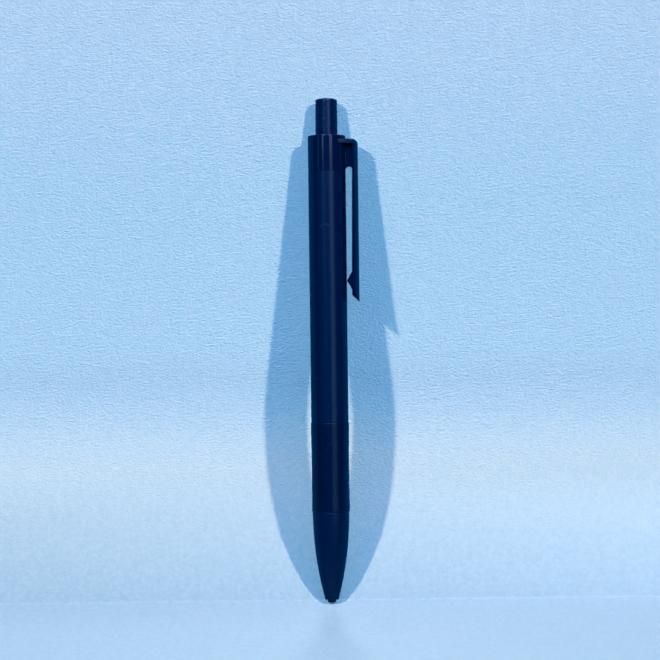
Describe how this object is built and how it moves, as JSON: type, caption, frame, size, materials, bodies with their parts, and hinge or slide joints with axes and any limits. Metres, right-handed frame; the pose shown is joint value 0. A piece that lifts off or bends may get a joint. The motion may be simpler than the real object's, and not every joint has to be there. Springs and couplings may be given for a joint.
{
  "type": "retractable ballpoint pen",
  "caption": "Slim click-action ballpoint pen with a side clip, satin grip, screw-off nose, rotating-cam retraction and a sprung refill.",
  "frame": {"origin": "on the pen's axis at the writing end, at the nose bush's outermost face", "axes": "+Z along the pen from the writing end to the push button; +X from the axis towards the clip"},
  "size_m": [0.014, 0.0106, 0.14],
  "materials": {
    "barrel_plastic": "gloss",
    "clip_plastic": "gloss",
    "button_plastic": "gloss",
    "grip_plastic": "satin",
    "nose_plastic": "satin",
    "bush_plastic": "satin",
    "mechanism_plastic": "natural",
    "rotor_plastic": "natural",
    "tube_plastic": "clear",
    "adapter_plastic": "natural",
    "point_metal": "turned",
    "ball_metal": "polished",
    "ink": "wet",
    "grease": "clear",
    "spring_steel": "drawn wire"
  },
  "bodies": {
    "barrel": {"barrel_tube": "barrel_plastic", "grip_sleeve": "grip_plastic", "top_collar": "barrel_plastic", "clip_root": "clip_plastic", "cam_sleeve": "mechanism_plastic"},
    "push_button": {"push_button": "button_plastic", "cam_plunger": "mechanism_plastic"},
    "refill": {"ink_tube": "tube_plastic", "tip_adapter": "adapter_plastic", "tip_point": "point_metal", "ink_column": "ink", "ink_follower": "grease", "tail_plug": "adapter_plastic"},
    "rotor": {"index_rotor": "rotor_plastic"},
    "ball": {"writing_ball": "ball_metal"},
    "clip": {"clip_arm": "clip_plastic"},
    "spring": {"return_spring": "spring_steel"},
    "nose": {"nose_cone": "nose_plastic", "nose_bush": "bush_plastic"}
  },
  "joints": [
    {"name": "button_press", "type": "slide", "parent": "barrel", "child": "push_button", "axis": [0, 0, -1], "range_m": [0, 0.006]},
    {"name": "refill_advance", "type": "slide", "parent": "barrel", "child": "refill", "axis": [0, 0, -1], "range_m": [0, 0.00541], "stiffness_N_per_m": 250, "springref_m": -0.004, "deforming": ["return_spring"]},
    {"name": "rotor_turn", "type": "hinge", "parent": "refill", "child": "rotor", "pos_m": [0, 0, 0.112], "axis": [0, 0, 1], "range_deg": [0, 22.6]},
    {"name": "ball_roll", "type": "hinge", "parent": "refill", "child": "ball", "pos_m": [0, 0, 0.0017], "axis": [1, 0, 0], "continuous": true},
    {"name": "clip_flex", "type": "hinge", "parent": "barrel", "child": "clip", "pos_m": [0.00865, 0, 0.112], "axis": [0, -1, 0], "range_deg": [0, 5], "stiffness_Nm_per_rad": 1.3, "springref_deg": -0.57},
    {"name": "nose_travel", "type": "slide", "parent": "barrel", "child": "spring", "axis": [0, 0, -1], "range_m": [0, 0.00525]},
    {"name": "nose_unscrew", "type": "hinge", "parent": "spring", "child": "nose", "pos_m": [0, 0, 0], "axis": [0, 0, -1], "range_deg": [0, 1513]}
  ],
  "couplings": [
    {"joint": "refill_advance", "follows": "button_press", "ratio": 0.9},
    {"joint": "rotor_turn", "follows": "button_press", "rad_per_m": 65.45},
    {"joint": "nose_unscrew", "follows": "nose_travel", "rad_per_m": 5026.6}
  ]
}
